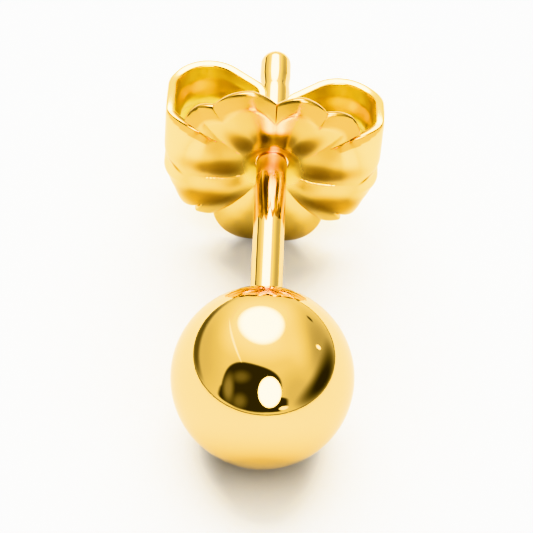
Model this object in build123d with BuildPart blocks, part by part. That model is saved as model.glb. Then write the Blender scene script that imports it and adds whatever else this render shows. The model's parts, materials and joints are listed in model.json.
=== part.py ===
"""Ball stud earring: a polished ball on a straight post, and the fluted butterfly back that grips the post.

The earring lies on a table, as it does when it has been taken off. The ball and the lower lobe of the
back touch the table, so the post slopes up a little towards its tip. Millimetres, +Z up, +Y from the
ball towards the tip of the post, +X to the right of someone who looks from the ball along the post.
The origin is under the middle of the earring's box, on the table.
"""

import os
from collections import namedtuple
from math import cos, degrees, pi, radians, sin, sqrt

import numpy as np
from build123d import *

# Ball and post, measured along the post from the middle of the ball
BALL_RADIUS = 2.5
POST_RADIUS = 0.45
POST_REACH = 12.4  # middle of the ball to the tip of the post
SOLDER_RADIUS = 0.12  # fillet of solder where the post meets the ball
TIP_ROUNDING = 0.4  # rounding of the post's tip
NOTCH_START = 0.95  # tip to the near end of the catch groove
NOTCH_LENGTH = 0.6
NOTCH_DEPTH = 0.02

# Back: its place on the post, and its sheet
BACK_PLACE = 7.8  # middle of the ball to the plane of the disc
SHEET = 0.24
HOLE_RADIUS = 0.545  # to the middle of the sheet, which leaves the post a running clearance

# Disc: round petals that overlap in the rim, four pairs of them, with a strip at each side
Petal = namedtuple("Petal", "angle place radius")  # from the hole, in degrees from +X towards the top
PETALS = (
    Petal(angle=74, place=2.0, radius=1.0),
    Petal(angle=111, place=2.05, radius=1.12),
    Petal(angle=43, place=2.18, radius=0.87),
    Petal(angle=141, place=2.26, radius=0.9),
    Petal(angle=216, place=2.05, radius=0.85),
    Petal(angle=324, place=2.05, radius=0.85),
    Petal(angle=257, place=2.0, radius=1.18),
    Petal(angle=283, place=2.0, radius=1.18),
)
RIM_RADIUS = 3.15
SPLIT_DEPTH = 0.2  # dip of the rim between the two top petals
SPLIT_HALF_WIDTH = 0.7
CUT_RADIUS = 2.45  # bottom of the cuts that free the strips
CUT_EDGE = {"top": radians(34), "bottom": radians(42)}  # middle of a strip to the far side of a cut
ROOT_RADIUS = 2.55  # where the rim bends back into a strip
ROOT_EDGE = {"top": radians(30), "bottom": radians(37.5)}  # middle of a strip to its edges

# Relief of the disc: one flute to a petal, between valleys at these slopes from the strips' line
VALLEYS = (radians(-90), radians(-56), radians(-14.5), radians(37), radians(90))
FLUTE_DEPTH = 0.2
FLUTE_CREST = 0.42  # share of the way from a flute's lower valley to its crest
FLUTE_ROUNDNESS = 2.5
FLUTE_SWEEP = radians(9)  # how far the valleys sink for each millimetre outwards
MIDDLE_START = radians(55)  # slope beyond which the flutes level out towards the middle
MIDDLE_EASE = radians(20)
MIDDLE_FILL = {"top": 0.75, "bottom": 1.0}
FUNNEL_DEPTH = 0.25  # dimple that leads the post into the hole
FUNNEL_RADIUS = 0.3
CURL_DEPTH = {"top": 0.18, "bottom": 0.2}  # how far the rim curls back
CURL_WIDTH = {"top": 0.45, "bottom": 0.9}
CURL_POWER = {"top": 1.1, "bottom": 2.0}
CURL_START = {"top": radians(26), "bottom": radians(48)}

# Strips: the line that a strip's edge follows in the plane of the post and the two strips
FLANK_REACH = 3.05  # post axis to the outer side of a strip
BEND_RADIUS = 0.5  # bend from the disc into the outer side
LOOP_RADIUS = 1.12  # loop behind the disc
LOOP_TURN = radians(127)
LOOP_PLACE = {"left": 1.91, "right": 1.51}  # disc's plane to the middle of each loop
GRIP_RADIUS = 0.5  # bend into the stretch along the post
GRIP_OFFSET = 0.38  # post axis to the edge of a strip that lies along the post
GRIP_END = 1.05  # disc's plane to the end of a strip
STRIP_HALF_WIDTH = 1.05
CHANNEL_DEPTHS = (0.1, 0.29)  # lengthwise channel that the post lies in, at the disc and at the strip's end
CHANNEL_HALF_WIDTHS = (0.4, 0.8)
CHANNEL_START = -0.42  # height of the channel's middle at the disc
ROOT_DEPTH_BLEND = 1.4  # lengths over which the rim's shape passes into the strip's own
ROOT_WIDTH_START = 0.8
ROOT_WIDTH_BLEND = 2.2
ROOT_BOW_BLEND = {"top": 0.9, "bottom": 3.0}

# Facets of the back
AROUND = 96
RINGS = 8
ALONG = 24


def smooth(share):
    """A step from 0 to 1 with level ends."""
    share = np.clip(share, 0, 1)
    return share**2 * (3 - 2 * share)


def above_or_below(sizes, place):
    """The size that holds at a place, of a pair for the top and the bottom."""
    return np.where(place > 0, sizes["top"], sizes["bottom"])


def petal_reach(petal, angle):
    """How far from the hole a ray at an angle leaves a petal, or 0 where it misses."""
    apart = angle - radians(petal.angle)
    within = petal.radius**2 - (petal.place * np.sin(apart)) ** 2
    met = (within > 0) & (np.cos(apart) > 0)
    return np.where(met, petal.place * np.cos(apart) + np.sqrt(np.maximum(within, 0)), 0)


def rim_radius(angle):
    """Radius of the disc's rim at an angle from +X towards the top."""
    height = np.sin(angle)
    aside = np.abs((angle + pi / 2) % pi - pi / 2)
    radius = np.max([petal_reach(petal, angle) for petal in PETALS], axis=0)
    from_split = np.clip(np.abs(radius * np.cos(angle)) / SPLIT_HALF_WIDTH, 0, 1)
    radius = radius - np.where(height > 0, SPLIT_DEPTH * (1 - from_split), 0)
    radius = np.where(aside < above_or_below(CUT_EDGE, height), CUT_RADIUS, radius)
    return np.where(aside < above_or_below(ROOT_EDGE, height) + 0.01, ROOT_RADIUS, radius)


def flute_height(radius, slope):
    """Height of the flutes, from 0 in a valley to about 1 at a crest."""
    swept = slope - FLUTE_SWEEP * (radius - 2) * np.cos(slope)
    phase = np.interp(swept, VALLEYS, np.arange(len(VALLEYS))) % 1
    rise = np.maximum(phase, 1e-6) / FLUTE_CREST
    fall = np.maximum(1 - phase, 1e-6) / (1 - FLUTE_CREST)
    flute = (rise**-FLUTE_ROUNDNESS + fall**-FLUTE_ROUNDNESS) ** (-1 / FLUTE_ROUNDNESS)
    in_middle = smooth((np.abs(slope) - MIDDLE_START) / MIDDLE_EASE)
    return flute + (1 - flute) * in_middle * above_or_below(MIDDLE_FILL, slope)


def disc_sheet(share, angle):
    """Middle of the disc's sheet, at a share of the way from the hole to the rim."""
    rim = rim_radius(angle)
    radius = HOLE_RADIUS + (rim - HOLE_RADIUS) * share
    reach = (radius - HOLE_RADIUS) / (RIM_RADIUS - HOLE_RADIUS)
    slope = np.arctan2(np.sin(angle), np.abs(np.cos(angle)))
    beside_root = smooth((np.abs(slope) - radians(26)) / radians(14))
    flat_root = 1 - (1 - beside_root) * smooth((radius - 2.1) / 0.5)
    funnel = np.exp(-(((radius - HOLE_RADIUS) / FUNNEL_RADIUS) ** 1.5))
    near_rim = np.clip(1 - (rim - radius) / above_or_below(CURL_WIDTH, slope), 0, 1)
    curled = smooth((np.abs(slope) - above_or_below(CURL_START, slope)) / radians(14))
    curl = above_or_below(CURL_DEPTH, slope) * near_rim ** above_or_below(CURL_POWER, slope) * curled
    flute = FLUTE_DEPTH * flute_height(radius, slope) * smooth(2 * reach) * flat_root
    depth = FUNNEL_DEPTH * funnel - flute + curl
    return np.stack([radius * np.cos(angle), depth, radius * np.sin(angle)], axis=-1)


def edge_line(loop_place):
    """Places, headings and lengths along a right-hand strip's edge, from the disc to its end.

    The line is runs of steady curvature. Its heading is the running sum of the turns, and its place
    the running sum of the headings.
    """
    slope_heading = pi / 2 + LOOP_TURN
    across_loop = LOOP_RADIUS * (1 - cos(LOOP_TURN))
    across_grip = GRIP_RADIUS * (1 + sin(slope_heading))
    slope = (FLANK_REACH - across_loop - across_grip - GRIP_OFFSET) / -cos(slope_heading)
    loop_end = loop_place + LOOP_RADIUS * sin(LOOP_TURN)
    grip_start = loop_end + slope * sin(slope_heading) + GRIP_RADIUS * cos(slope_heading)
    runs = [
        (BEND_RADIUS * pi / 2, pi / 2),
        (loop_place - BEND_RADIUS, 0),
        (LOOP_RADIUS * LOOP_TURN, LOOP_TURN),
        (slope, 0),
        (GRIP_RADIUS * (pi - LOOP_TURN), pi - LOOP_TURN),
        (grip_start - GRIP_END, 0),
    ]
    ends = np.cumsum([0] + [length for length, turn in runs])
    turned = np.cumsum([0] + [turn for length, turn in runs])
    fine = np.linspace(0, ends[-1], 2001)
    heading = np.interp((fine[1:] + fine[:-1]) / 2, ends, turned)
    steps = np.stack([np.cos(heading), np.sin(heading)], axis=-1) * fine[1]
    line = np.vstack([[0, 0], np.cumsum(steps, axis=0)]) + [FLANK_REACH - BEND_RADIUS, 0]
    length = np.linspace(0, ends[-1], ALONG + 1)
    places = np.stack([np.interp(length, fine, line[:, axis]) for axis in (0, 1)], axis=-1)
    return places, np.interp(length, ends, turned), length


def strip_sheet(root, loop_place, sign):
    """Middle of a strip's sheet. Its first row is the stretch of rim that it grows from."""
    root = root * [sign, 1, 1]
    line, heading, length = edge_line(loop_place)
    inward = np.stack([-np.sin(heading), np.cos(heading), 0 * heading], axis=-1)[:, None]
    length = length[:, None]
    wider = line[:, :1] / line[0, 0]
    widest = np.where(root[:, 2] > 0, root[:, 2].max(), -root[:, 2].min())
    root_width = 1 - smooth((length - ROOT_WIDTH_START) / ROOT_WIDTH_BLEND)
    height = root[:, 2] / widest * (STRIP_HALF_WIDTH + (widest * wider - STRIP_HALF_WIDTH) * root_width)
    root_depth = 1 - smooth(length / ROOT_DEPTH_BLEND)
    depth = np.interp(length, (0, length[-1, 0]), CHANNEL_DEPTHS)
    half_width = np.interp(length, (0, length[-1, 0]), CHANNEL_HALF_WIDTHS)
    within = np.clip(np.abs(height - CHANNEL_START * root_depth) / half_width, 0, 1)
    channel = depth * (1 + np.cos(pi * within)) / 2
    level = channel + (root[:, 1] - line[0, 1] - channel[0]) * root_depth
    root_bow = 1 - smooth(length / above_or_below(ROOT_BOW_BLEND, root[:, 2]))
    across = line[:, :1] + (root[:, 0] - line[0, 0]) * root_bow * wider
    middle = np.stack([across, line[:, 1:] + 0 * height, height], axis=-1) + inward * level[..., None]
    return middle * [sign, 1, 1]


def quads(rows):
    """The four corners of each cell of a grid of vertex numbers."""
    corners = np.stack([rows[:-1, :-1], rows[1:, :-1], rows[1:, 1:], rows[:-1, 1:]], axis=-1)
    return corners.reshape(-1, 4)


def back_sheet():
    """Vertices and quads of the middle of the whole sheet: the disc and both strips."""
    angle = np.arange(AROUND) * 2 * pi / AROUND
    share = (np.arange(RINGS + 1) / RINGS)[:, None] ** 1.25
    points = [disc_sheet(share, angle).reshape(-1, 3)]
    rings = np.arange((RINGS + 1) * AROUND).reshape(RINGS + 1, AROUND)
    faces = [quads(np.hstack([rings, rings[:, :1]]))]
    count = rings.size
    step = 2 * pi / AROUND
    rim_places = np.arange(-round(ROOT_EDGE["bottom"] / step), round(ROOT_EDGE["top"] / step) + 1)
    for middle, sign, side in ((0, 1, "right"), (AROUND // 2, -1, "left")):
        root = rings[-1, (middle + rim_places * sign) % AROUND][::sign]
        strip = strip_sheet(points[0][root], LOOP_PLACE[side], sign)[1:]
        rows = count + np.arange(strip[..., 0].size).reshape(strip.shape[:2])
        points.append(strip.reshape(-1, 3))
        faces.append(quads(np.vstack([root, rows])))
        count += rows.size
    return np.vstack(points), np.vstack(faces)


def thicken(points, faces):
    """Triangles of the closed solid that lies half a sheet's thickness either side of a surface."""
    corners = points[faces]
    normals = np.cross(corners[:, 2] - corners[:, 0], corners[:, 3] - corners[:, 1])
    at_points = np.zeros_like(points)
    for corner in range(4):
        np.add.at(at_points, faces[:, corner], normals)
    offset = at_points / np.linalg.norm(at_points, axis=1)[:, None] * SHEET / 2
    count = len(points)
    edges = np.vstack([faces[:, [corner, (corner + 1) % 4]] for corner in range(4)])
    known = {(a, b) for a, b in edges.tolist()}
    rim = np.array([(a, b) for a, b in sorted(known) if (b, a) not in known])
    walls = np.stack([rim[:, 1], rim[:, 0], rim[:, 0] + count, rim[:, 1] + count], axis=-1)
    shell = np.vstack([faces, faces[:, ::-1] + count, walls])
    triangles = np.vstack([shell[:, [0, 1, 2]], shell[:, [0, 2, 3]]])
    return np.vstack([points + offset, points - offset]), triangles


def resting_lean(points):
    """Slope of the post at which the back's lowest point reaches the table that the ball lies on."""
    along, height = points[:, 1] + BACK_PLACE, points[:, 2]
    reach = np.hypot(along, height)
    return np.max(np.arctan2(-height, along) - np.arcsin(np.clip(BALL_RADIUS / reach, -1, 1)))


back_points, back_triangles = thicken(*back_sheet())
lean = resting_lean(back_points)
earring_length = BALL_RADIUS + (POST_REACH - TIP_ROUNDING) * cos(lean) + TIP_ROUNDING
ball_place = (0, BALL_RADIUS - earring_length / 2, BALL_RADIUS)
post_direction = (0, cos(lean), sin(lean))

# Half the stud's outline, turned about the post: x runs along the post, y away from it.
outline_plane = Plane(origin=ball_place, x_dir=post_direction, z_dir=(1, 0, 0))
fillet_reach = sqrt((BALL_RADIUS + SOLDER_RADIUS) ** 2 - (POST_RADIUS + SOLDER_RADIUS) ** 2)
on_ball = BALL_RADIUS / (BALL_RADIUS + SOLDER_RADIUS)
solder_start = (fillet_reach * on_ball, (POST_RADIUS + SOLDER_RADIUS) * on_ball)
notch_far = POST_REACH - NOTCH_START - NOTCH_LENGTH
notch_near = POST_REACH - NOTCH_START
with BuildPart() as ball_stud:
    with BuildSketch(outline_plane):
        with BuildLine():
            Line((POST_REACH, 0), (-BALL_RADIUS, 0))
            ThreePointArc((-BALL_RADIUS, 0), (0, BALL_RADIUS), solder_start)
            RadiusArc(solder_start, (fillet_reach, POST_RADIUS), -SOLDER_RADIUS)
            Line((fillet_reach, POST_RADIUS), (notch_far, POST_RADIUS))
            SagittaArc((notch_far, POST_RADIUS), (notch_near, POST_RADIUS), -NOTCH_DEPTH)
            Line((notch_near, POST_RADIUS), (POST_REACH - TIP_ROUNDING, POST_RADIUS))
            RadiusArc(
                (POST_REACH - TIP_ROUNDING, POST_RADIUS),
                (POST_REACH, POST_RADIUS - TIP_ROUNDING),
                TIP_ROUNDING,
            )
            Line((POST_REACH, POST_RADIUS - TIP_ROUNDING), (POST_REACH, 0))
        make_face()
    revolve(axis=Axis(ball_place, post_direction))

back_plane = Plane(
    origin=tuple(np.add(ball_place, np.multiply(post_direction, BACK_PLACE))),
    x_dir=(1, 0, 0),
    z_dir=(0, -sin(lean), cos(lean)),
)
corners = [back_plane.from_local_coords(Vector(*point)) for point in back_points.tolist()]
with BuildPart() as ear_nut:
    facets = [Face(Wire.make_polygon([corners[i] for i in triangle])) for triangle in back_triangles]
    add(Solid(Shell(facets)))

os.makedirs("parts", exist_ok=True)
for name, sub_part in (("ball_stud", ball_stud), ("ear_nut", ear_nut)):
    sub_part.part.label = name
    export_step(sub_part.part, f"parts/{name}.step")
print("lean in degrees", round(degrees(lean), 6), "facets", len(back_triangles))
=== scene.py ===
"""Ball stud earring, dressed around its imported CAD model: polished gold ball and post, fluted gold back.

Shapes are worked out in millimetres along the post: across it, along it from the middle of the ball, and
upwards from it. PostLine carries them into the frame, in metres.
"""

import json
import logging
from dataclasses import dataclass
from enum import Enum
from math import atan2, cos, pi, radians, sin, sqrt, tan

import bpy
import numpy as np
from mathutils import Matrix, Vector
from numpy.typing import NDArray


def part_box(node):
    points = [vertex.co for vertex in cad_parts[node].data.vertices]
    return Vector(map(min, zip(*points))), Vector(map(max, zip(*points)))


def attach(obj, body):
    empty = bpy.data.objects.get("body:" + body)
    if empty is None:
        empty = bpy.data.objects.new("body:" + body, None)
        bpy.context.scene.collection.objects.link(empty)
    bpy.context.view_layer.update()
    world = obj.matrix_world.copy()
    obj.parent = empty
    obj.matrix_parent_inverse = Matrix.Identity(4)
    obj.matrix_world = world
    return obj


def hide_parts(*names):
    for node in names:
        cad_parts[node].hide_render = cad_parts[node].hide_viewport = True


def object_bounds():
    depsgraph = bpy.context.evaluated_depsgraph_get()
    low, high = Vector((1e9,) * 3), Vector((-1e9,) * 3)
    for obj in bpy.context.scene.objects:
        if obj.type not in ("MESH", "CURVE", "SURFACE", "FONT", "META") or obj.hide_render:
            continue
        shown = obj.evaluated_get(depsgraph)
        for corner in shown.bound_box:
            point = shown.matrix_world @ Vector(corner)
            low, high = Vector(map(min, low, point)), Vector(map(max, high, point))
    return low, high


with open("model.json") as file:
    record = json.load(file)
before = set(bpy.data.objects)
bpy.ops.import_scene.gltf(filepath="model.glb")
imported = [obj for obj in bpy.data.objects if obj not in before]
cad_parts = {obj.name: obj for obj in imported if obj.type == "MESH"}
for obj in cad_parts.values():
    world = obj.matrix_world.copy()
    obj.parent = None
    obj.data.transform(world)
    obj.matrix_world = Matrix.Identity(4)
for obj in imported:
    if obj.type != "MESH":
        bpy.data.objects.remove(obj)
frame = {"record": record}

Array = NDArray[np.float64]
Grid = NDArray[np.int64]
Colour = tuple[float, float, float]
Input = bpy.types.NodeSocket | float | Vector | tuple[float, ...]
Choice = str | bpy.types.NodeTree

CAD_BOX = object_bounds()
MM = 0.001
# Mark of the sheet's hollow side, and of its front and edges round the hole: satin roughness and painted
# shade.
HOLLOW_MARK = "hollow_side"
# Mark of painted shade: darkening in the disc's flute bands, down its bottom lobe, along its curled top rim
# and round its hole, and on the post by the solder and where the back sits.
PAINTED_SHADE_MARK = "painted_shade"
TINY = 1e-6

log = logging.getLogger("earring")


class Slot(Enum):
    """Finishes that the record names."""

    POLISHED = "polished_gold"
    STAMPED = "stamped_gold"


class Side(Enum):
    """Sides of the back, as the sign of the way across the post."""

    RIGHT = 1
    LEFT = -1


class Kind(Enum):
    """Kinds of value that a shader node group takes and gives."""

    VECTOR = "NodeSocketVector"
    NUMBER = "NodeSocketFloat"
    COLOUR = "NodeSocketColor"


# ------------------------------------------------ mesh helpers


def smooth(share: Array) -> Array:
    """Ease from 0 to 1: 3 s squared less 2 s cubed, held level outside that range.

    Args:
        share: How far along the step each place is.

    Returns:
        The eased share.
    """
    share = np.clip(share, 0.0, 1.0)
    return share**2 * (3.0 - 2.0 * share)


def arc(middle: tuple[float, float], radius: float, turns: tuple[float, float], count: int) -> Array:
    """Points of an arc of radius r about (a, b), in even steps of the turn t: a + r cos t and b + r sin t.

    Args:
        middle: The arc's middle.
        radius: Its radius.
        turns: Where t starts and ends.
        count: How many points it has.

    Returns:
        The points, row by row.
    """
    turn = np.linspace(*turns, count)
    return np.array(middle) + radius * np.stack([np.cos(turn), np.sin(turn)], axis=-1)


def grid_quads(rows: Grid) -> Grid:
    """Corners of each cell of a grid of vertex numbers, turned the same way as the grid.

    Args:
        rows: Vertex numbers, row by row.

    Returns:
        One row of four vertex numbers for each cell.
    """
    corners = np.stack([rows[:-1, :-1], rows[1:, :-1], rows[1:, 1:], rows[:-1, 1:]], axis=-1)
    return corners.reshape(-1, 4)


def shell_volume(points: Array, quads: Grid) -> float:
    """Signed volume of a closed shell: a sixth of the sum of corner triple products over its triangles.

    Args:
        points: Vertices.
        quads: Faces, whose last corner may repeat the first.

    Returns:
        The volume, positive where faces point outwards.
    """
    triangles = np.vstack([quads[:, [0, 1, 2]], quads[:, [0, 2, 3]]])
    first, second, third = (points[triangles[:, corner]] for corner in range(3))
    return float(np.einsum("ij,ij->", first, np.cross(second, third)) / 6.0)


def add_object(name: str, data: bpy.types.ID) -> bpy.types.Object:
    """Put an object into the scene.

    Args:
        name: Name of the object.
        data: Its mesh, light or camera.

    Returns:
        The new object, at the origin.
    """
    placed = bpy.data.objects.new(name, data)
    bpy.context.scene.collection.objects.link(placed)
    return placed


def add_piece(name: str, points: Array, quads: Grid, marks: dict[str, Array]) -> bpy.types.Object:
    """Put a closed shell of smooth faces into the scene.

    Args:
        name: Name of the piece.
        points: Vertices in metres, in the frame.
        quads: Faces. Where two corners are the same vertex the face is a triangle.
        marks: Values for each vertex, which the finish can read by name.

    Returns:
        The new object, at the origin, with its place in its mesh.
    """
    if shell_volume(points, quads) < 0.0:
        quads = quads[:, ::-1]
    fresh = np.stack([quads[:, corner] != quads[:, corner - 1] for corner in range(4)], axis=-1)
    totals = fresh.sum(axis=1)
    loops = quads[fresh]
    mesh = bpy.data.meshes.new(name)
    mesh.vertices.add(len(points))
    mesh.vertices.foreach_set("co", points.astype(np.float32).ravel())
    mesh.loops.add(len(loops))
    mesh.loops.foreach_set("vertex_index", loops.astype(np.int32))
    mesh.polygons.add(len(quads))
    mesh.polygons.foreach_set("loop_start", (np.cumsum(totals) - totals).astype(np.int32))
    mesh.polygons.foreach_set("loop_total", totals.astype(np.int32))
    mesh.polygons.foreach_set("use_smooth", np.ones(len(quads), dtype=bool))
    mesh.update(calc_edges=True)
    for title, values in marks.items():
        mark = mesh.attributes.new(title, "FLOAT", "POINT")
        mark.data.foreach_set("value", values.astype(np.float32))
    mesh.validate()
    log.info("%s: %d faces", name, len(quads))
    return add_object(name, mesh)


@dataclass(frozen=True)
class PostLine:
    """The post's axis in the frame, with the two directions across it."""

    ball: Array
    across: Array
    along: Array
    upward: Array

    @classmethod
    def from_frame(cls) -> "PostLine":
        """Read the ball's middle from its box, and the post's direction from the slide's axis.

        Returns:
            The line, in metres.
        """
        low, high = (np.array(corner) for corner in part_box("ball_stud"))
        radius = (high[0] - low[0]) / 2.0
        ball = np.array([(low[0] + high[0]) / 2.0, low[1] + radius, low[2] + radius])
        along = np.array(frame["record"]["behaviour"]["joints"][0]["axis"], dtype=float)
        along /= np.linalg.norm(along)
        across = np.array([1.0, 0.0, 0.0])
        return cls(ball, across, along, np.cross(across, along))

    def place(self, local: Array) -> Array:
        """Carry points into the frame.

        Args:
            local: Millimetres across, along and upward from the middle of the ball.

        Returns:
            Metres in the frame.
        """
        return self.ball + MM * (local @ np.stack([self.across, self.along, self.upward]))


# ----------------------------------------------- ball and post


@dataclass
class BallStud:
    """The ball and its post, soldered into one solid, turned about the post's axis."""

    line: PostLine
    ball_radius: float = 2.5
    post_radius: float = 0.45
    post_reach: float = 12.4
    solder_radius: float = 0.12
    tip_rounding: float = 0.4
    groove_start: float = 0.95
    groove_length: float = 0.6
    groove_depth: float = 0.02
    # Painted shade on the ball and post: darkening round the solder joint and on the post where the back
    # sits.
    solder_painted_shade: float = 0.8
    solder_shade_radius: float = 1.15
    solder_shade_span: tuple[float, float] = (2.0, 2.95)
    solder_shade_fades: tuple[float, float, float] = (0.4, 0.3, 0.4)
    back_seat_painted_shade: float = 0.6
    back_seat_shade_place: float = 7.35
    back_seat_shade_reach: float = 0.55
    ball_steps: int = 190
    solder_steps: int = 12
    post_steps: int = 50
    groove_steps: int = 17
    tip_steps: int = 18
    around: int = 200

    def outline(self) -> Array:
        """Half outline from the front of the ball to the tip, as runs of arcs and straight lines.

        The solder's arc touches the ball and the post. The groove's arc has the chord c and depth d that its
        sizes give, so its radius is (c squared over 4, plus d squared) over 2 d.

        Returns:
            Rows of how far along the post and how far from its axis.
        """
        solder_out = self.post_radius + self.solder_radius
        solder_reach = sqrt((self.ball_radius + self.solder_radius) ** 2 - solder_out**2)
        touch = atan2(solder_out, solder_reach)
        ball = arc((0.0, 0.0), self.ball_radius, (pi, touch), self.ball_steps)
        solder_turns = (touch + pi, 1.5 * pi)
        solder = arc((solder_reach, solder_out), self.solder_radius, solder_turns, self.solder_steps)
        groove_reach = self.post_reach - self.groove_start - self.groove_length
        post_reach = np.linspace(solder_reach, groove_reach, self.post_steps)
        post = np.stack([post_reach, np.full(self.post_steps, self.post_radius)], axis=-1)
        half = self.groove_length / 2.0
        groove_radius = (half**2 + self.groove_depth**2) / (2.0 * self.groove_depth)
        share = np.linspace(-1.0, 1.0, self.groove_steps)
        drop = np.sqrt(groove_radius**2 - (half * share) ** 2) - (groove_radius - self.groove_depth)
        groove = np.stack([groove_reach + half * (1.0 + share), self.post_radius - drop], axis=-1)
        tip_middle = (self.post_reach - self.tip_rounding, self.post_radius - self.tip_rounding)
        tip = arc(tip_middle, self.tip_rounding, (pi / 2.0, 0.0), self.tip_steps)
        end = np.array([[self.post_reach, 0.0]])
        return np.vstack([ball, solder[1:], post[1:], groove[1:], tip, end])

    def deep_tone_and_painted_shade(self, points: Array) -> Array:
        """Mark of painted shade by the solder and where the back sits: each fades out over its own reach.

        Args:
            points: Places from the middle of the ball.

        Returns:
            The mark, from 0 to 1.
        """
        along = points[:, 1]
        from_axis = np.hypot(points[:, 0], points[:, 2])
        start, stop = self.solder_shade_span
        out_fade, start_fade, stop_fade = self.solder_shade_fades
        shade_by_solder = smooth((self.solder_shade_radius - from_axis) / out_fade)
        shade_by_solder = shade_by_solder * smooth((along - start) / start_fade) * smooth((stop - along) / stop_fade)
        shade_by_back = np.exp(-(((along - self.back_seat_shade_place) / self.back_seat_shade_reach) ** 4))
        return np.maximum(self.solder_painted_shade * shade_by_solder, self.back_seat_painted_shade * shade_by_back)

    def build(self) -> bpy.types.Object:
        """Turn the outline about the post: across r cos a, along x, upward r sin a, for each turn a.

        Returns:
            The finished piece, with its two ends closed on the axis.
        """
        outline = self.outline()
        turn = np.arange(self.around) * 2.0 * pi / self.around
        reach, radius = outline[1:-1, :1], outline[1:-1, 1:]
        ring = np.stack([radius * np.cos(turn), reach + 0.0 * turn, radius * np.sin(turn)], axis=-1)
        ends = np.array([[0.0, outline[0, 0], 0.0], [0.0, outline[-1, 0], 0.0]])
        points = np.vstack([ring.reshape(-1, 3), ends])
        rows = np.arange(radius.size * self.around).reshape(radius.size, self.around)
        front, tip = (np.full((1, self.around), len(points) - back) for back in (2, 1))
        rows = np.vstack([front, rows, tip])
        quads = grid_quads(np.hstack([rows, rows[:, :1]]))
        # This mark is painted shade by the solder and where the back sits.
        return add_piece("ball_and_post", self.line.place(points), quads, {PAINTED_SHADE_MARK: self.deep_tone_and_painted_shade(points)})


# ---------------------------------------------- butterfly back


@dataclass(frozen=True)
class Petal:
    """A round petal of the disc's rim: a circle some way out from the hole, at an angle in degrees."""

    angle: float
    place: float
    radius: float

    def reach(self, angle: Array) -> Array:
        """Where a ray from the hole leaves the circle: d is how far the ray turns from the petal's own angle.

        With p and r the circle's place and radius, it is p cos d plus the root of r squared less (p sin d)
        squared.

        Args:
            angle: Angles of the rays.

        Returns:
            The distance from the hole, or 0 where the ray misses the petal.
        """
        apart = angle - radians(self.angle)
        within = self.radius**2 - (self.place * np.sin(apart)) ** 2
        met = (within > 0.0) & (np.cos(apart) > 0.0)
        return np.where(met, self.place * np.cos(apart) + np.sqrt(np.maximum(within, 0.0)), 0.0)


@dataclass(frozen=True)
class PaintedShadeOval:
    """A soft oval of painted shade on the disc's front, mirrored to both sides of the post."""

    across: float
    upward: float
    half_length: float
    half_width: float
    slope: float
    strength: float = 1.0

    def mark(self, points: Array) -> Array:
        """Strength of the painted shade: exp of minus the fourth power of how far out a place is, in the
        oval's sizes.

        Args:
            points: Places from the hole.

        Returns:
            The strength at each.
        """
        across = np.abs(points[:, 0]) - self.across
        upward = points[:, 2] - self.upward
        turn = radians(self.slope)
        lengthwise = (across * cos(turn) + upward * sin(turn)) / self.half_length
        sideways = (upward * cos(turn) - across * sin(turn)) / self.half_width
        return self.strength * np.exp(-(np.hypot(lengthwise, sideways) ** 4))


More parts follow.
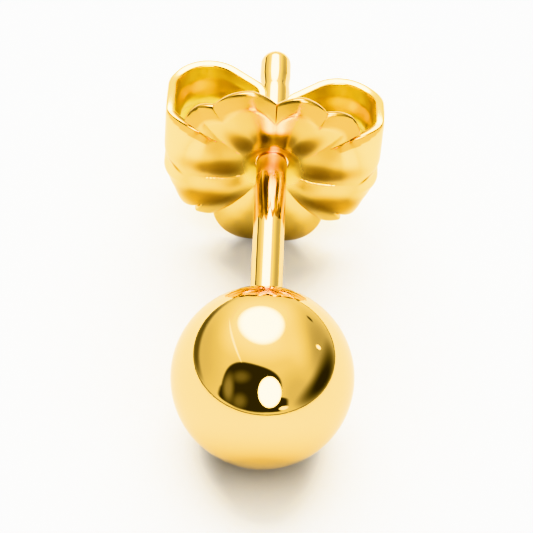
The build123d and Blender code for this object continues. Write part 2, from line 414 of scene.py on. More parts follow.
@dataclass(frozen=True)
class Disc:
    """The disc: scalloped into petals, fluted, dimpled at its hole and curled at its rim.

    It is split at the top and cut on both sides of each strip's root. Where a size is a pair, the first is
    for the half above the post and the second for the half below it.
    """

    hole_radius: float = 0.545
    rim_radius: float = 3.15
    edge_bulge: float = 0.05
    petals: tuple[Petal, ...] = (
        Petal(74, 2.0, 1.0),
        Petal(111, 2.05, 1.12),
        Petal(43, 2.18, 0.87),
        Petal(141, 2.26, 0.9),
        Petal(216, 2.05, 0.85),
        Petal(324, 2.05, 0.85),
        Petal(257, 2.0, 1.18),
        Petal(283, 2.0, 1.18),
    )
    split_depth: float = 0.2
    split_half_width: float = 0.7
    root_radius: float = 2.55
    root_edges: tuple[float, float] = (radians(30.9375), radians(37.5))
    cut_radius: float = 2.45
    cut_edges: tuple[float, float] = (radians(33.0), radians(39.3))
    corner: float = radians(1.5)
    valleys: tuple[float, ...] = (radians(-90), radians(-56), radians(-14.5), radians(37), radians(90))
    flute_depth: float = 0.2
    flute_crest: float = 0.42
    flute_roundness: float = 2.5
    flute_ease: float = 0.5
    flute_sweep: float = radians(9)
    flute_sweep_radius: float = 2.0
    middle_start: float = radians(55)
    middle_ease: float = radians(20)
    middle_fill: tuple[float, float] = (0.75, 1.0)
    flat_root_start: float = 2.1
    flat_root_ease: float = 0.5
    flat_root_edge: float = radians(26)
    flat_root_edge_ease: float = radians(14)
    funnel_depth: float = 0.25
    funnel_radius: float = 0.3
    funnel_power: float = 1.5
    curl_depths: tuple[float, float] = (0.18, 0.2)
    curl_widths: tuple[float, float] = (0.45, 0.9)
    curl_powers: tuple[float, float] = (1.1, 2.0)
    curl_starts: tuple[float, float] = (radians(26), radians(48))
    curl_ease: float = radians(14)
    around: int = 384
    rings: int = 40
    ring_crowding: float = 1.15

    def outer(self, angle: Array) -> Array:
        """Radius of the rim at an angle from the right, upwards.

        It is the furthest reach of the petals, less what the rounded edge adds and a dip at the split. It
        falls in eased steps to the bottom of a cut and to a strip's root.

        Args:
            angle: Angles about the hole.

        Returns:
            The radius at each.
        """
        aside = np.abs((angle + pi / 2.0) % pi - pi / 2.0)
        above = np.sin(angle) > 0.0
        radius = np.max([petal.reach(angle) for petal in self.petals], axis=0) - self.edge_bulge
        from_split = np.clip(np.abs(radius * np.cos(angle)) / self.split_half_width, 0.0, 1.0)
        radius = radius - np.where(above, self.split_depth * (1.0 - from_split), 0.0)
        cut_edge, root_edge = (np.where(above, *edges) for edges in (self.cut_edges, self.root_edges))
        radius = radius + (self.cut_radius - radius) * (1.0 - smooth((aside - cut_edge) / self.corner))
        return radius + (self.root_radius - radius) * (1.0 - smooth((aside - root_edge) / self.corner))

    def middle(self, share: Array, angle: Array) -> Array:
        """Middle of the disc's sheet over a share of the way out and an angle.

        Depth is a funnel at the hole, exp of minus the distance to a power, less the flutes, plus a curl that
        grows as a power of the nearness to the rim. Between two valleys a flute is the soft minimum of a ramp
        up from the lower one and a ramp up from the upper one: the sum of their powers -n, to the power -1/n.

        Args:
            share: Shares of the way from the hole to the rim, as a column.
            angle: Angles about the hole, as a row.

        Returns:
            Points across, along and upward from the hole.
        """
        outer = self.outer(angle)
        radius = self.hole_radius + (outer - self.hole_radius) * share
        reach = (radius - self.hole_radius) / (self.rim_radius - self.hole_radius)
        above = np.sin(angle) > 0.0
        elevation = np.arctan2(np.sin(angle), np.abs(np.cos(angle)))
        swept = elevation - self.flute_sweep * (radius - self.flute_sweep_radius) * np.cos(elevation)
        phase = np.interp(swept, self.valleys, np.arange(len(self.valleys))) % 1.0
        rise = np.maximum(phase, TINY) / self.flute_crest
        fall = np.maximum(1.0 - phase, TINY) / (1.0 - self.flute_crest)
        flute = (rise**-self.flute_roundness + fall**-self.flute_roundness) ** (-1.0 / self.flute_roundness)
        in_middle = smooth((np.abs(elevation) - self.middle_start) / self.middle_ease)
        flute = flute + (1.0 - flute) * in_middle * np.where(above, *self.middle_fill)
        beside_root = smooth((np.abs(elevation) - self.flat_root_edge) / self.flat_root_edge_ease)
        fluted = 1.0 - (1.0 - beside_root) * smooth((radius - self.flat_root_start) / self.flat_root_ease)
        height = self.flute_depth * flute * smooth(reach / self.flute_ease) * fluted
        funnel = np.exp(-(((radius - self.hole_radius) / self.funnel_radius) ** self.funnel_power))
        near_rim = np.clip(1.0 - (outer - radius) / np.where(above, *self.curl_widths), 0.0, 1.0)
        curled = smooth((np.abs(elevation) - np.where(above, *self.curl_starts)) / self.curl_ease)
        curl = np.where(above, *self.curl_depths) * near_rim ** np.where(above, *self.curl_powers) * curled
        depth = self.funnel_depth * funnel - height + curl
        return np.stack([radius * np.cos(angle), depth, radius * np.sin(angle)], axis=-1)

    def grid(self) -> tuple[Array, Grid]:
        """Middle of the sheet as a grid, ring by ring from the hole out.

        Returns:
            The points, and the number of each, row by row.
        """
        angle = np.arange(self.around) * 2.0 * pi / self.around
        share = (np.arange(self.rings + 1) / self.rings)[:, None] ** self.ring_crowding
        points = self.middle(share, angle)
        return points.reshape(-1, 3), np.arange(points[..., 0].size).reshape(points.shape[:2])

    def root(self, rings: Grid, side: Side) -> Grid:
        """The stretch of rim that a strip grows from.

        Args:
            rings: Numbers of the disc's points, ring by ring.
            side: The strip's side.

        Returns:
            Numbers of the stretch's points, from the bottom up.
        """
        step = 2.0 * pi / self.around
        rim = np.arange(-round(self.root_edges[1] / step), round(self.root_edges[0] / step) + 1)
        middle = 0 if side is Side.RIGHT else self.around // 2
        return rings[-1, (middle + rim * side.value) % self.around][:: side.value]


@dataclass(frozen=True)
class Strip:
    """A strip that leaves the disc's rim, curls into a loop behind it and ends in a grip along the post."""

    side: Side
    loop_place: float
    flank_reach: float = 3.05
    bend_radius: float = 0.5
    loop_radius: float = 1.12
    loop_turn: float = radians(127)
    grip_radius: float = 0.5
    grip_offset: float = 0.38
    grip_end: float = 1.05
    half_width: float = 1.05
    channel_depths: tuple[float, float] = (0.1, 0.29)
    channel_half_widths: tuple[float, float] = (0.4, 0.8)
    channel_start: float = -0.42
    root_depth_blend: float = 1.4
    root_width_start: float = 0.8
    root_width_blend: float = 2.2
    root_bow_blends: tuple[float, float] = (0.9, 3.0)
    along: int = 170
    fine_steps: int = 4000

    def edge_line(self) -> tuple[Array, Array, Array]:
        """Line of the strip's edge, from the disc to its end behind it, as on the right-hand side.

        The line is runs of steady curvature: its heading is the running sum of the turns, and its place the
        running sum of the headings.

        Returns:
            Places across and along, headings, and lengths from the disc.
        """
        slope_heading = pi / 2.0 + self.loop_turn
        across_loop = self.loop_radius * (1.0 - cos(self.loop_turn))
        across_grip = self.grip_radius * (1.0 + sin(slope_heading))
        slope = (self.flank_reach - across_loop - across_grip - self.grip_offset) / -cos(slope_heading)
        loop_end = self.loop_place + self.loop_radius * sin(self.loop_turn)
        grip_start = loop_end + slope * sin(slope_heading) + self.grip_radius * cos(slope_heading)
        runs = np.array(
            [
                (0.0, 0.0),
                (self.bend_radius * pi / 2.0, pi / 2.0),
                (self.loop_place - self.bend_radius, 0.0),
                (self.loop_radius * self.loop_turn, self.loop_turn),
                (slope, 0.0),
                (self.grip_radius * (pi - self.loop_turn), pi - self.loop_turn),
                (grip_start - self.grip_end, 0.0),
            ]
        )
        ends, turned = np.cumsum(runs, axis=0).T
        fine = np.linspace(0.0, ends[-1], self.fine_steps + 1)
        heading = np.interp((fine[1:] + fine[:-1]) / 2.0, ends, turned)
        steps = np.stack([np.cos(heading), np.sin(heading)], axis=-1) * fine[1]
        path = np.vstack([[0.0, 0.0], np.cumsum(steps, axis=0)]) + [self.flank_reach - self.bend_radius, 0.0]
        length = np.linspace(0.0, ends[-1], self.along + 1)
        places = np.stack([np.interp(length, fine, path[:, axis]) for axis in (0, 1)], axis=-1)
        return places, np.interp(length, ends, turned), length

    def middle(self, root: Array) -> Array:
        """Middle of the strip's sheet: the rim's shape carried along the edge, easing into a grooved band.

        Width, bow and depth of the rim's shape each ease out over their own length. The groove that the post
        lies in is a cosine wave across the band, and grows in depth and width towards the strip's end.

        Args:
            root: The stretch of rim that the strip grows from.

        Returns:
            Rows of points, the first of them the root.
        """
        mirror = [self.side.value, 1.0, 1.0]
        root = root * mirror
        places, heading, length = self.edge_line()
        inward = np.stack([-np.sin(heading), np.cos(heading), 0.0 * heading], axis=-1)[:, None]
        along = (length / length[-1])[:, None]
        keep = (1.0 - smooth((length - self.root_width_start) / self.root_width_blend))[:, None]
        wider = places[:, :1] / places[0, 0]
        widest = np.where(root[:, 2] > 0.0, root[:, 2].max(), -root[:, 2].min())
        band = self.half_width + (widest * wider - self.half_width) * keep
        height = root[:, 2] / widest * band
        depth = np.interp(along, (0.0, 1.0), self.channel_depths)
        channel_half_width = np.interp(along, (0.0, 1.0), self.channel_half_widths)
        channel_middle = self.channel_start * (1.0 - smooth(length / self.root_depth_blend))[:, None]
        within = np.clip(np.abs(height - channel_middle) / channel_half_width, 0.0, 1.0)
        channel = depth * (1.0 + np.cos(pi * within)) / 2.0
        uneven = root[:, 1] - places[0, 1] - channel[0]
        level = channel + uneven * (1.0 - smooth(length / self.root_depth_blend))[:, None]
        bow_blend = np.where(root[:, 2] > 0.0, *self.root_bow_blends)
        bow = (root[:, 0] - places[0, 0]) * (1.0 - smooth(length[:, None] / bow_blend))
        across = places[:, :1] + bow * wider
        middle = np.stack([across, places[:, 1:] + 0.0 * height, height], axis=-1)
        middle = middle + inward * level[..., None]
        return middle * mirror


@dataclass(frozen=True)
class DiscDullnessAndShade:
    """Where the back is duller and where shade is painted on it, and how strongly."""

    # Ovals of painted shade: three dark bands under the side petals where the flutes turn down, a thin dark
    # dash on each flank, a dark star just above the hole and a darker patch on the panels above it.
    painted_shade_ovals: tuple[PaintedShadeOval, ...] = (
        PaintedShadeOval(0.92, 1.12, 0.62, 0.36, 48, 0.8),
        PaintedShadeOval(1.5, 0.04, 1.12, 0.38, 3, 0.85),
        PaintedShadeOval(1.85, -1.27, 0.98, 0.38, -6, 0.85),
        PaintedShadeOval(2.85, -0.2, 0.32, 0.06, 43),
        PaintedShadeOval(0.0, 0.72, 0.24, 0.2, 0),
        PaintedShadeOval(0.3, 1.25, 0.6, 0.35, 70, 0.7),
    )
    # Painted shade down the bottom lobe, along the curled top rim and in a ring just above the hole.
    lobe: float = 0.6
    lobe_start: float = 1.8
    lobe_ease: float = 1.2
    curl: float = 0.62
    curl_width: float = 0.45
    curl_ease: float = 0.12
    throat_radius: float = 0.72
    throat_width: float = 0.16
    throat_rise: float = 0.4
    deepest: float = 0.45
    # Satin roughness and painted shade on the front round the hole.
    dull_and_shade_strength: float = 0.8
    dull_and_shade_reach: float = 0.4
    dull_and_shade_depth: float = 0.5

    def front_painted_shade(self, disc: Disc, points: Array) -> Array:
        """Mark of painted shade on the disc's front: the greatest of several soft ranges.

        It lies in ovals under the petals, deepens down the bottom lobe, runs along the curled top rim and
        rings the hole from above.

        Args:
            disc: The disc.
            points: Places from the hole.

        Returns:
            The mark, from 0 to 1.
        """
        radius = np.hypot(points[:, 0], points[:, 2])
        slope = np.arctan2(points[:, 2], np.abs(points[:, 0]))
        below = smooth((-points[:, 2] - self.lobe_start) / self.lobe_ease)
        lobe = self.lobe * below * (slope < disc.valleys[1])
        inside_rim = disc.outer(np.arctan2(points[:, 2], points[:, 0])) - radius
        at_curl = smooth((self.curl_width - inside_rim) / self.curl_ease)
        curl = self.curl * at_curl * (slope > disc.curl_starts[0])
        throat = np.exp(-(((radius - self.throat_radius) / self.throat_width) ** 2))
        throat = throat * smooth(points[:, 2] / self.throat_rise)
        painted_shade_ovals = [painted_shade.mark(points) for painted_shade in self.painted_shade_ovals]
        return np.max([lobe, curl, throat, *painted_shade_ovals], axis=0) * (points[:, 1] < self.deepest)

    def dull_and_painted_shade(self, disc: Disc, points: Array) -> Array:
        """Dullness and painted shade of the disc's front round the hole: exp of minus the square of how far
        out a place is.

        Args:
            disc: The disc.
            points: Places from the hole.

        Returns:
            The dullness, from 0 to 1.
        """
        from_hole = np.hypot(points[:, 0], points[:, 2]) - disc.hole_radius
        near = np.exp(-((from_hole / self.dull_and_shade_reach) ** 2))
        return self.dull_and_shade_strength * near * (points[:, 1] < self.dull_and_shade_depth)


@dataclass
class ButterflyBack:
    """The back, stamped from one sheet: a fluted disc whose two strips are bent into loops behind it."""

    line: PostLine
    place: float = 7.8
    sheet: float = 0.24
    edge_squareness: float = 2.6
    edge_steps: int = 8
    # Share of the front's dullness and painted shade that the sheet's edges take.
    edge_dull_and_shade: float = 0.5
    disc: Disc = Disc()
    strips: tuple[Strip, Strip] = (Strip(Side.RIGHT, loop_place=1.51), Strip(Side.LEFT, loop_place=1.91))
    # Where the back is satin and where shade is painted on it.
    tone: DiscDullnessAndShade = DiscDullnessAndShade()

    def middle_sheet(self) -> tuple[Array, Grid]:
        """Vertices and faces of the middle of the whole sheet, disc and strips joined along the rim.

        Returns:
            Points from the hole, and quads.
        """
        disc_points, rings = self.disc.grid()
        points = [disc_points]
        quads = [grid_quads(np.hstack([rings, rings[:, :1]]))]
        count = rings.size
        for strip in self.strips:
            root = self.disc.root(rings, strip.side)
            band = strip.middle(disc_points[root])[1:]
            rows = count + np.arange(band[..., 0].size).reshape(band.shape[:2])
            points.append(band.reshape(-1, 3))
            quads.append(grid_quads(np.vstack([root, rows])))
            count += rows.size
        return np.vstack(points), np.vstack(quads)

    def thicken(self, points: Array, quads: Grid) -> tuple[Array, Grid, Array]:
        """Closed shell of the sheet: half its thickness each way along the normals, with rounded edges.

        An edge's section is a superellipse: its bulge times cos t to a power outwards, and half the thickness
        times sin t to that power along the normal.

        Args:
            points: Middle of the sheet.
            quads: Its faces.

        Returns:
            Points and quads of the shell, and a mark of satin roughness and painted shade that is 1 on the
            sheet's hollow side and fades in towards the hole on the other.
        """
        corners = points[quads]
        face_normals = np.cross(corners[:, 2] - corners[:, 0], corners[:, 3] - corners[:, 1])
        normals = np.zeros_like(points)
        for corner in range(4):
            np.add.at(normals, quads[:, corner], face_normals)
        normals /= np.linalg.norm(normals, axis=1)[:, None]
        count = len(points)
        edges = np.vstack([quads[:, [corner, (corner + 1) % 4]] for corner in range(4)])
        keys, turned = edges[:, 0] * count + edges[:, 1], edges[:, 1] * count + edges[:, 0]
        rim = edges[~np.isin(keys, turned)]
        outward = np.zeros_like(points)
        way = points[rim[:, 1]] - points[rim[:, 0]]
        for corner in range(2):
            np.add.at(outward, rim[:, corner], np.cross(way, normals[rim[:, corner]]))
        at_rim = np.unique(rim)
        outward[at_rim] /= np.linalg.norm(outward[at_rim], axis=1)[:, None]
        lift = self.sheet / 2.0 * normals
        turn = np.linspace(pi / 2.0, -pi / 2.0, self.edge_steps + 1)[1:-1, None, None]
        power = 2.0 / self.edge_squareness
        rise = np.sign(np.sin(turn)) * np.abs(np.sin(turn)) ** power * lift[at_rim]
        bulge = np.cos(turn) ** power * self.disc.edge_bulge * outward[at_rim]
        ring = (points[at_rim] + rise + bulge).reshape(-1, 3)
        ring_starts = 2 * count + np.arange(len(turn))[:, None, None] * len(at_rim)
        levels = np.concatenate([rim[None], ring_starts + np.searchsorted(at_rim, rim), rim[None] + count])
        upper, lower = levels[:-1], levels[1:]
        walls = np.stack([upper[..., 1], upper[..., 0], lower[..., 0], lower[..., 1]], axis=-1)
        shell = np.vstack([quads, quads[:, ::-1] + count, walls.reshape(-1, 4)])
        # Satin roughness and painted shade: the whole hollow side, and the front and edges round the hole.
        dull_and_painted_shade = self.tone.dull_and_painted_shade(self.disc, points)
        sides = (np.ones(count), dull_and_painted_shade) if normals[0, 1] > 0.0 else (dull_and_painted_shade, np.ones(count))
        hollow = np.hstack([*sides, self.edge_dull_and_shade * dull_and_painted_shade[np.tile(at_rim, len(turn))]])
        return np.vstack([points + lift, points - lift, ring]), shell, hollow

    def build(self) -> bpy.types.Object:
        """Make the back at its place on the post.

        Returns:
            The finished piece.
        """
        points, quads, hollow = self.thicken(*self.middle_sheet())
        # Painted shade on the front, faded out where the hollow-side mark lies.
        marks = {HOLLOW_MARK: hollow, PAINTED_SHADE_MARK: self.tone.front_painted_shade(self.disc, points) * (1.0 - hollow)}
        return add_piece("butterfly_back", self.line.place(points + [0.0, self.place, 0.0]), quads, marks)


# ---------------------------------------------------- finishes


@dataclass(frozen=True)
class Wiring:
    """Adds nodes to one tree of shader nodes and joins them up."""

    tree: bpy.types.NodeTree

    @classmethod
    def group(cls, name: str, inputs: dict[str, Kind | float], output: str, kind: Kind) -> "Wiring":
        """Start a node group with named sockets.

        Args:
            name: Name of the group.
            inputs: For each input its kind of value, or the value that a number starts at.
            output: Name of the output.
            kind: Its kind of value.

        Returns:
            The wiring of the new group.
        """
        tree = bpy.data.node_groups.new(name, "ShaderNodeTree")
        for title, start in inputs.items():
            start_kind = start if isinstance(start, Kind) else Kind.NUMBER
            socket = tree.interface.new_socket(name=title, in_out="INPUT", socket_type=start_kind.value)
            if start_kind is Kind.NUMBER:
                socket.default_value = start
        tree.interface.new_socket(name=output, in_out="OUTPUT", socket_type=kind.value)
        tree.nodes.new("NodeGroupInput").name = "In"
        tree.nodes.new("NodeGroupOutput").name = "Out"
        return cls(tree)

    def given(self, title: str) -> bpy.types.NodeSocket:
        """One of the group's own inputs, by name."""
        return self.tree.nodes["In"].outputs[title]

    def give(self, value: bpy.types.NodeSocket) -> bpy.types.NodeTree:
        """Put out a value as the group's output, and hand the finished group over."""
        self.tree.links.new(value, self.tree.nodes["Out"].inputs[0])
        return self.tree

    def fill(self, node: bpy.types.Node, inputs: dict[str | int, Input]) -> None:
        """Link or set a node's inputs.

        Args:
            node: The node.
            inputs: A socket to link, or a value to set, for each input.
        """
        for title, value in inputs.items():
            if isinstance(value, bpy.types.NodeSocket):
                self.tree.links.new(value, node.inputs[title])
            else:
                node.inputs[title].default_value = value

    def add(
        self, kind: str, inputs: dict[str | int, Input], output: str | int = 0, **choices: Choice
    ) -> bpy.types.NodeSocket:
        """Add a node with its inputs filled in.

        Args:
            kind: The node's type, without its ShaderNode prefix.
            inputs: A socket or a value for each input that isn't left as it is.
            output: Which of its outputs to give.
            **choices: The node's own settings, such as its operation or the group that it places.

        Returns:
            The output.
        """
        node = self.tree.nodes.new(f"ShaderNode{kind}")
        for title, choice in choices.items():
            setattr(node, title, choice)
        self.fill(node, inputs)
        return node.outputs[output]

    def maths(self, operation: str, *values: Input) -> bpy.types.NodeSocket:
        """Add a maths node on the values and give its result."""
        return self.add("Math", dict(enumerate(values)), operation=operation)

    def ease(self, value: Input, low: Input, high: Input) -> bpy.types.NodeSocket:
        """Ease a value from 0 at the low end of a range to 1 at the high end."""
        span = {"Value": value, "From Min": low, "From Max": high}
        return self.add("MapRange", span, "Result", interpolation_type="SMOOTHSTEP")


def tool_mark_group() -> bpy.types.NodeTree:
    """Height of soft dents and fine polishing lines: a broad noise, and a fine one drawn out along the post.

    Returns:
        The group, with Vector, Dent Scale, Line Scale and Lines as inputs and Height as output.
    """
    inputs = {"Vector": Kind.VECTOR, "Dent Scale": 900.0, "Line Scale": 9000.0, "Lines": 0.2}
    wiring = Wiring.group("tool_marks", inputs, "Height", Kind.NUMBER)
    given = wiring.given
    broad = {"Vector": given("Vector"), "Scale": given("Dent Scale"), "Detail": 1.5, "Roughness": 0.4}
    dents = wiring.add("TexNoise", broad, "Fac")
    stretched = wiring.add("Mapping", {"Vector": given("Vector"), "Scale": (1.0, 0.06, 1.0)})
    fine = {"Vector": stretched, "Scale": given("Line Scale"), "Detail": 2.0}
    lines = wiring.add("TexNoise", fine, "Fac")
    return wiring.give(wiring.maths("MULTIPLY_ADD", lines, given("Lines"), dents))


def haze_group() -> bpy.types.NodeTree:
    """Roughness of handled polish: a base value, lifted in the cloudy spots of a noise.

    Returns:
        The group, with Vector, Scale, Base and Haze as inputs and Roughness as output.
    """
    inputs = {"Vector": Kind.VECTOR, "Scale": 700.0, "Base": 0.05, "Haze": 0.05}
    wiring = Wiring.group("polish_haze", inputs, "Roughness", Kind.NUMBER)
    given = wiring.given
    cloudy = {"Vector": given("Vector"), "Scale": given("Scale"), "Detail": 4.0, "Roughness": 0.6}
    spots = wiring.ease(wiring.add("TexNoise", cloudy, "Fac"), 0.42, 0.7)
    return wiring.give(wiring.maths("MULTIPLY_ADD", spots, given("Haze"), given("Base")))


def tone_group() -> bpy.types.NodeTree:
    """Colour of the gold: two tones mixed by a broad, faint noise, as an alloy's surface has.

    Returns:
        The group, with Vector, Scale and the two tones as inputs and Color as output.
    """
    inputs = {"Vector": Kind.VECTOR, "Scale": 300.0, "Light Tone": Kind.COLOUR, "Deep Tone": Kind.COLOUR}
    wiring = Wiring.group("gold_tone", inputs, "Color", Kind.COLOUR)
    given = wiring.given
    noise = wiring.add("TexNoise", {"Vector": given("Vector"), "Scale": given("Scale"), "Detail": 3.0}, "Fac")
    tones = {"Factor": noise, "A": given("Light Tone"), "B": given("Deep Tone")}
    return wiring.give(wiring.add("Mix", tones, "Result", data_type="RGBA"))


@dataclass(frozen=True)
class EffectGroups:
    """The node groups that both finishes share."""

    tool_marks: bpy.types.NodeTree
    haze: bpy.types.NodeTree
    tone: bpy.types.NodeTree

    @classmethod
    def make(cls) -> "EffectGroups":
        """Build each group once."""
        return cls(tool_mark_group(), haze_group(), tone_group())


@dataclass(frozen=True)
class GoldFinish:
    """A finish of yellow gold: its tones, its painted shade, its polish, and the marks of the work on it."""

    slot: Slot
    light_tone: Colour
    # The deeper of the two alloy tones that a noise mixes.
    deep_tone_and_painted_shade: Colour
    roughness: float
    haze: float
    dent_scale: float
    lines: float
    relief_mm: float
    hollow_satin: float = 0.0
    # Painted shade on the hollow side and round the hole, as the hollow-side mark lays it.
    hollow_painted_shade: Colour = (1.0, 1.0, 1.0)
    # Painted shade, as the painted shade mark lays it.
    painted_shade_colour: Colour = (1.0, 1.0, 1.0)

    def material(self, groups: EffectGroups) -> bpy.types.Material:
        """Make the material: a metal whose colour, roughness and bump come from the shared groups.

        Args:
            groups: The shared node groups.

        Returns:
            The new material.
        """
        material = bpy.data.materials.new(self.slot.value)
        material.use_nodes = True
        wiring = Wiring(material.node_tree)
        surface = wiring.add("TexCoord", {}, "Object")
        tones = {"Light Tone": (*self.light_tone, 1.0), "Deep Tone": (*self.deep_tone_and_painted_shade, 1.0)}
        colour = wiring.add("Group", {"Vector": surface, **tones}, node_tree=groups.tone)
        # Both marks darken the colour: painted shade.
        marks = (HOLLOW_MARK, PAINTED_SHADE_MARK)
        hollow, painted_shade = (wiring.add("Attribute", {}, "Fac", attribute_name=mark) for mark in marks)
        for mark, shade in ((hollow, self.hollow_painted_shade), (painted_shade, self.painted_shade_colour)):
            shading = {"Factor": mark, "A": colour, "B": (*shade, 1.0)}
            colour = wiring.add("Mix", shading, "Result", data_type="RGBA", blend_type="MULTIPLY")
        polish = {"Vector": surface, "Base": self.roughness, "Haze": self.haze}
        haze = wiring.add("Group", polish, node_tree=groups.haze)
        work = {"Vector": surface, "Dent Scale": self.dent_scale, "Lines": self.lines}
        height = wiring.add("Group", work, node_tree=groups.tool_marks)
        relief = {"Distance": self.relief_mm * MM, "Height": height}
        metal = {
            "Metallic": 1.0,
            "Base Color": colour,
            "Roughness": wiring.maths("MULTIPLY_ADD", hollow, self.hollow_satin, haze),
            "Normal": wiring.add("Bump", relief, "Normal"),
        }
        wiring.fill(material.node_tree.nodes["Principled BSDF"], metal)
        return material


POLISHED_GOLD = GoldFinish(
    slot=Slot.POLISHED,
    light_tone=(1.0, 0.74, 0.3),
    deep_tone_and_painted_shade=(0.99, 0.72, 0.28),
    roughness=0.03,
    haze=0.03,
    dent_scale=500.0,
    lines=0.06,
    relief_mm=0.002,
    # Painted shade by the solder and where the back sits.
    painted_shade_colour=(0.58, 0.64, 0.5),
)
STAMPED_GOLD = GoldFinish(
    slot=Slot.STAMPED,
    light_tone=(1.0, 0.765, 0.305),
    deep_tone_and_painted_shade=(0.98, 0.74, 0.275),
    roughness=0.19,
    haze=0.05,
    dent_scale=1100.0,
    lines=0.05,
    relief_mm=0.006,
    hollow_satin=0.2,
    # Painted shade on the hollow side and round the hole.
    hollow_painted_shade=(0.72, 0.77, 0.56),
    # Painted shade in the flute bands, the bottom lobe, the curled rim and round the hole.
    painted_shade_colour=(0.3, 0.21, 0.05),
)


# ------------------------------------------------------ studio


def heading(azimuth: float, elevation: float) -> Vector:
    """Direction at an azimuth from +Y towards +X and an elevation, both in degrees."""
    turn, rise = radians(azimuth), radians(elevation)
    return Vector((sin(turn) * cos(rise), cos(turn) * cos(rise), sin(rise)))


@dataclass(frozen=True)
class Panel:
    """A panel, lamp or opening of the light tent, seen from the earring, with soft edges."""

    azimuth: float
    elevation: float
    half_width: float
    half_height: float
    level: float
    softness: float = 0.15
    squareness: float = 2.0
    twist: float = 0.0

    def mask(
        self, wiring: Wiring, group: bpy.types.NodeTree, way: bpy.types.NodeSocket
    ) -> bpy.types.NodeSocket:
        """Mark where the panel stands, among the world's nodes.

        Args:
            wiring: The world's nodes.
            group: The mask's node group.
            way: The way looked in.

        Returns:
            The socket that gives 1 inside the panel and 0 outside it.
        """
        facing = heading(self.azimuth, self.elevation)
        sideways = facing.cross(Vector((0.0, 0.0, 1.0))).normalized()
        sideways.rotate(Matrix.Rotation(radians(self.twist), 3, facing))
        inputs = {
            "Way": way,
            "Facing": facing,
            "Sideways": sideways / tan(radians(self.half_width)),
            "Upward": sideways.cross(facing) / tan(radians(self.half_height)),
            "Squareness": self.squareness,
            "Softness": self.softness,
        }
        return wiring.add("Group", inputs, node_tree=group)


def panel_mask_group(least_ahead: float = 0.02) -> bpy.types.NodeTree:
    """Mask of a panel: a superellipse in the plane that it faces, with an eased edge.

    With x and y the way looked in along each of the panel's two directions, over the way ahead, the mask
    falls from 1 to 0 where the sum of the powers n of their sizes, to the power 1/n, passes 1.

    Args:
        least_ahead: How much of the way looked in has to be ahead for the panel to be seen.

    Returns:
        The group, with Way, Facing, Sideways, Upward, Squareness and Softness as inputs and Mask as output.
    """
    vectors = dict.fromkeys(("Way", "Facing", "Sideways", "Upward"), Kind.VECTOR)
    inputs = {**vectors, "Squareness": 2.0, "Softness": 0.15}
    wiring = Wiring.group("panel_mask", inputs, "Mask", Kind.NUMBER)
    given, maths = wiring.given, wiring.maths
    ahead, sideways, upward = (
        wiring.add("VectorMath", {0: given("Way"), 1: given(name)}, "Value", operation="DOT_PRODUCT")
        for name in ("Facing", "Sideways", "Upward")
    )
    depth = maths("MAXIMUM", ahead, least_ahead)
    power = given("Squareness")
    offsets = [maths("ABSOLUTE", maths("DIVIDE", way, depth)) for way in (sideways, upward)]
    spread = maths("ADD", *(maths("POWER", offset, power) for offset in offsets))
    spread = maths("POWER", spread, maths("DIVIDE", 1.0, power))
    inner, outer = (maths(operation, 1.0, given("Softness")) for operation in ("SUBTRACT", "ADD"))
    inside = maths("SUBTRACT", 1.0, wiring.ease(spread, inner, outer))
    return wiring.give(maths("MULTIPLY", inside, maths("GREATER_THAN", ahead, least_ahead)))


@dataclass(frozen=True)
class Lamp:
    """A round soft lamp that lights the floor and stays out of reflections."""

    azimuth: float
    elevation: float
    distance: float
    size: tuple[float, float]
    power: float

    def build(self, name: str) -> bpy.types.Object:
        """Hang the lamp in its direction, aimed at the earring.

        Args:
            name: Name of the lamp.

        Returns:
            The lamp, which is not part of the object.
        """
        data = bpy.data.lights.new(name, "AREA")
        data.shape = "ELLIPSE"
        data.size, data.size_y = self.size
        data.energy = self.power
        lamp = add_object(name, data)
        facing = heading(self.azimuth, self.elevation)
        aimed = facing.to_track_quat("Z", "Y").to_matrix().to_4x4()
        lamp.matrix_world = Matrix.Translation(facing * self.distance) @ aimed
        lamp.visible_glossy = False
        lamp.visible_camera = False
        return lamp


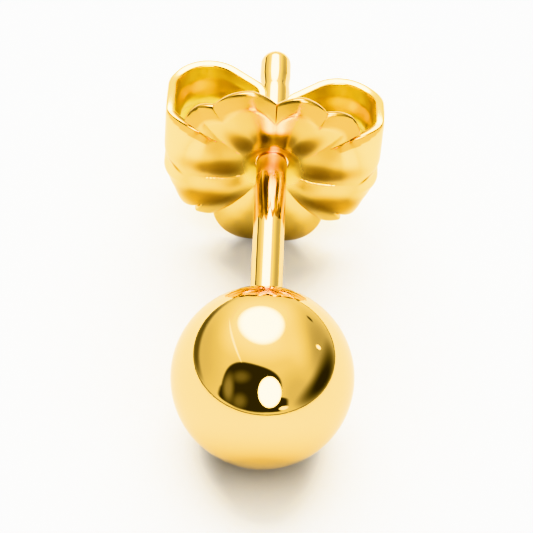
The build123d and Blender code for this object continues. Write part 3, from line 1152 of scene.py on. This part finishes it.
@dataclass
class Studio:
    """A white light tent round the earring, with the pale floor that it lies on."""

    floor_size: float = 0.6
    floor_tone: Colour = (0.37, 0.37, 0.37)
    floor_roughness: float = 0.9
    floor_gloss: float = 0.1
    tent_level: float = 0.68
    backdrop_level: float = 3.0
    seam_level: float = 0.3
    seam_top: float = radians(1.0)
    key: Lamp = Lamp(-6, 50, 0.3, (0.4, 0.4), 4.3)
    fill: Lamp = Lamp(175, 62, 0.4, (0.8, 1.0), 5.2)
    panels: tuple[Panel, ...] = (
        Panel(-10, 62, 36, 40, 1.4, softness=0.9),
        Panel(62, 50, 24, 22, 0.95, softness=0.8),
        Panel(68, 20, 36, 24, 0.4, softness=0.8),
        Panel(133, 20, 22, 24, 0.5, softness=0.7),
        Panel(-76, 10, 42, 26, 0.5, softness=0.8, squareness=3),
        Panel(97, 9, 33, 11, 0.05, softness=0.7),
        Panel(-58, 4, 36, 5, 0.16, softness=0.6),
        Panel(-78, 53, 25.5, 1.0, 2.4, softness=0.7, twist=22),
        Panel(-163, 32, 37, 29, 0.06, softness=0.07, squareness=3),
        Panel(-168, 15, 42.5, 11, 0.06, softness=0.1, squareness=5),
        Panel(-134, 20, 6, 14, 0.3, softness=0.7, twist=25),
        Panel(-153, 12, 7, 8, 0.22, softness=0.8, twist=-20),
        Panel(-143, 40, 9, 6, 0.2, softness=0.8, twist=30),
        Panel(170, 29, 13, 18, 16.0, softness=0.14),
        Panel(154, 7, 5, 2.2, 2.0, softness=0.4),
        Panel(69, 25, 1.8, 2.6, 4.0, softness=0.5),
        Panel(36, 18, 3, 1.4, 0.08, softness=0.5),
        Panel(-10, 62, 20.5, 26, 16.0, softness=0.24),
    )

    def build_floor(self) -> bpy.types.Object:
        """A large square of smooth pale board under the earring, at the height it rests on.

        Returns:
            The floor, which is not part of the object.
        """
        low = min(corner[2] for corner in CAD_BOX)
        half = self.floor_size / 2.0
        corners = [(-half, -half, low), (half, -half, low), (half, half, low), (-half, half, low)]
        mesh = bpy.data.meshes.new("floor")
        mesh.from_pydata(corners, [], [(0, 1, 2, 3)])
        floor = add_object("floor", mesh)
        board = bpy.data.materials.new("pale_board")
        board.use_nodes = True
        finish = {
            "Base Color": (*self.floor_tone, 1.0),
            "Roughness": self.floor_roughness,
            "Specular IOR Level": self.floor_gloss,
        }
        Wiring(board.node_tree).fill(board.node_tree.nodes["Principled BSDF"], finish)
        mesh.materials.append(board)
        return floor

    def build_light(self) -> None:
        """Light the tent: its level, laid over with each panel's in turn, and a plain backdrop behind it."""
        world = bpy.data.worlds.new("light_tent")
        bpy.context.scene.world = world
        world.use_nodes = True
        world.cycles_visibility.diffuse = False
        wiring = Wiring(world.node_tree)
        way = wiring.add("TexCoord", {}, "Generated")
        group = panel_mask_group()
        level = self.tent_level
        for panel in self.panels:
            covered = {"Factor": panel.mask(wiring, group, way), "A": level, "B": panel.level}
            level = wiring.add("Mix", covered, "Result")
        height, top = wiring.add("SeparateXYZ", {"Vector": way}, "Z"), sin(self.seam_top)
        above_seam = wiring.ease(height, 0.5 * top, 1.5 * top)
        level = wiring.add("Mix", {"Factor": above_seam, "A": self.seam_level, "B": level}, "Result")
        in_view = wiring.add("LightPath", {}, "Is Camera Ray")
        level = wiring.add("Mix", {"Factor": in_view, "A": level, "B": self.backdrop_level}, "Result")
        light = {"Color": (1.0, 1.0, 1.0, 1.0), "Strength": level}
        wiring.fill(world.node_tree.nodes["Background"], light)

    def build(self) -> None:
        """Set up the floor, the light and the way that the picture is shown."""
        self.build_floor()
        self.build_light()
        self.key.build("key_lamp")
        self.fill.build("fill_lamp")
        shown = bpy.context.scene.view_settings
        shown.view_transform = "Khronos PBR Neutral"
        shown.look = "Very High Contrast"


@dataclass
class View:
    """The camera, looking down at the earring from beyond its ball."""

    line: PostLine
    from_ball_mm: tuple[float, float, float] = (-1.471, -43.218, 46.907)
    aim_from_ball_mm: tuple[float, float, float] = (0.0, 4.5845, -0.3)
    sensor_mm: float = 36.0
    lens_mm: float = 158.7
    nearest_mm: float = 1.0
    roll: float = radians(4.8)

    def build(self) -> None:
        """Place the camera, aim it, and turn it about its own line of sight by the roll."""
        data = bpy.data.cameras.new("camera")
        data.sensor_width = self.sensor_mm
        data.lens = self.lens_mm
        data.clip_start = self.nearest_mm * MM
        data.dof.use_dof = False
        camera = add_object("camera", data)
        place = Vector(self.line.ball) + MM * Vector(self.from_ball_mm)
        forward = (Vector(self.aim_from_ball_mm) - Vector(self.from_ball_mm)).normalized()
        level = forward.cross(Vector((0.0, 0.0, 1.0))).normalized()
        right = Matrix.Rotation(-self.roll, 3, forward) @ level
        axes = Matrix((right, right.cross(forward), -forward)).transposed()
        camera.matrix_world = Matrix.Translation(place) @ axes.to_4x4()
        bpy.context.scene.camera = camera


# -------------------------------------------------------- main


def dress(piece: bpy.types.Object, node: str, body: str, slot: Slot, material: bpy.types.Material) -> None:
    """Let a piece stand for a CAD node, ride on that node's body and wear its finish.

    Args:
        piece: The piece.
        node: The CAD node that it replaces.
        body: The body that it moves with.
        slot: The record's slot that its finish comes from; not used.
        material: The finish itself.
    """
    piece.data.materials.append(material)
    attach(piece, body)
    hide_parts(node)
    log.info("%s stands for %s", piece.name, node)


def main() -> None:
    """Build the earring, its studio and the camera, in that order."""
    logging.basicConfig(level=logging.INFO, format="%(name)s: %(message)s")
    line = PostLine.from_frame()
    groups = EffectGroups.make()
    dress(BallStud(line).build(), "ball_stud", "stud", Slot.POLISHED, POLISHED_GOLD.material(groups))
    dress(ButterflyBack(line).build(), "ear_nut", "back", Slot.STAMPED, STAMPED_GOLD.material(groups))
    Studio().build()
    View(line).build()


if __name__ == "__main__":
    main()
